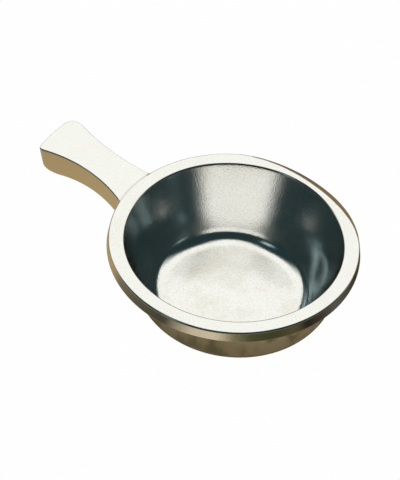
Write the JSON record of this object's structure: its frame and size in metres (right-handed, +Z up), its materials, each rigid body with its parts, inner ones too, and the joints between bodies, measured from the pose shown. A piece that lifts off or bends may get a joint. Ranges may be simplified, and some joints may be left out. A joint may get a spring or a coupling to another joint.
{
  "type": "handled serving pan",
  "caption": "Small cast aluminium serving pan: round tapered bowl with a thick flat-topped lip and a flared bar handle.",
  "frame": {"origin": "centre of the base's underside, on the bowl's axis", "axes": "+Z up along the bowl's axis, +X along the handle away from the bowl, +Y to the handle's left seen from above"},
  "size_m": [0.1776, 0.1266, 0.0508],
  "materials": {
    "cast_aluminium": "polished cast aluminium with faint casting texture"
  },
  "bodies": {
    "root": {"bowl": "cast_aluminium", "handle": "cast_aluminium"}
  },
  "joints": []
}
